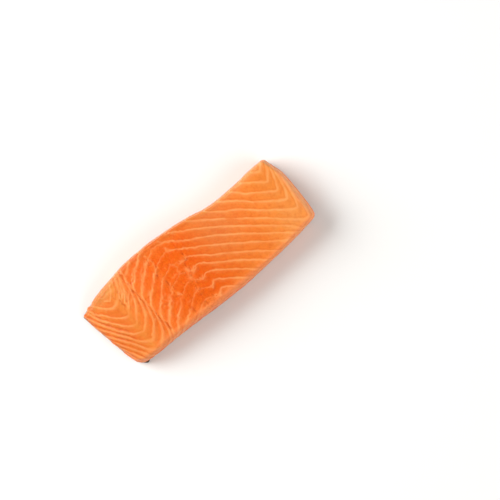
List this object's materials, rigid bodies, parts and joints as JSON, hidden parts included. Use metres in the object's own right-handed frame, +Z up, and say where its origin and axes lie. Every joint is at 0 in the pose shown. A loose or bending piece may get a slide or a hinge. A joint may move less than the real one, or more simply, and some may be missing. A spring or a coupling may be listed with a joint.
{
  "type": "raw salmon fillet portion",
  "caption": "Thick slab of raw orange fish flesh lying on its thin skin, tapering to a thin belly end, with one leaning and one upright cut face and a rounded back end",
  "frame": {"origin": "on the table, under the middle of the bounding box of the whole portion", "axes": "+X runs from the thin belly end to the thick back end along the longest side, +Y across from the leaning cut face to the upright cut face, +Z up from the skin to the exposed flesh"},
  "size_m": [0.1782, 0.0677, 0.0233],
  "materials": {
    "fish_flesh": "wet raw salmon muscle, orange with pale lines of fat, soft satin gloss",
    "fish_skin": "wet scaled skin, dark olive to silver grey"
  },
  "bodies": {
    "root": {"flesh": "fish_flesh", "skin": "fish_skin"}
  },
  "joints": []
}
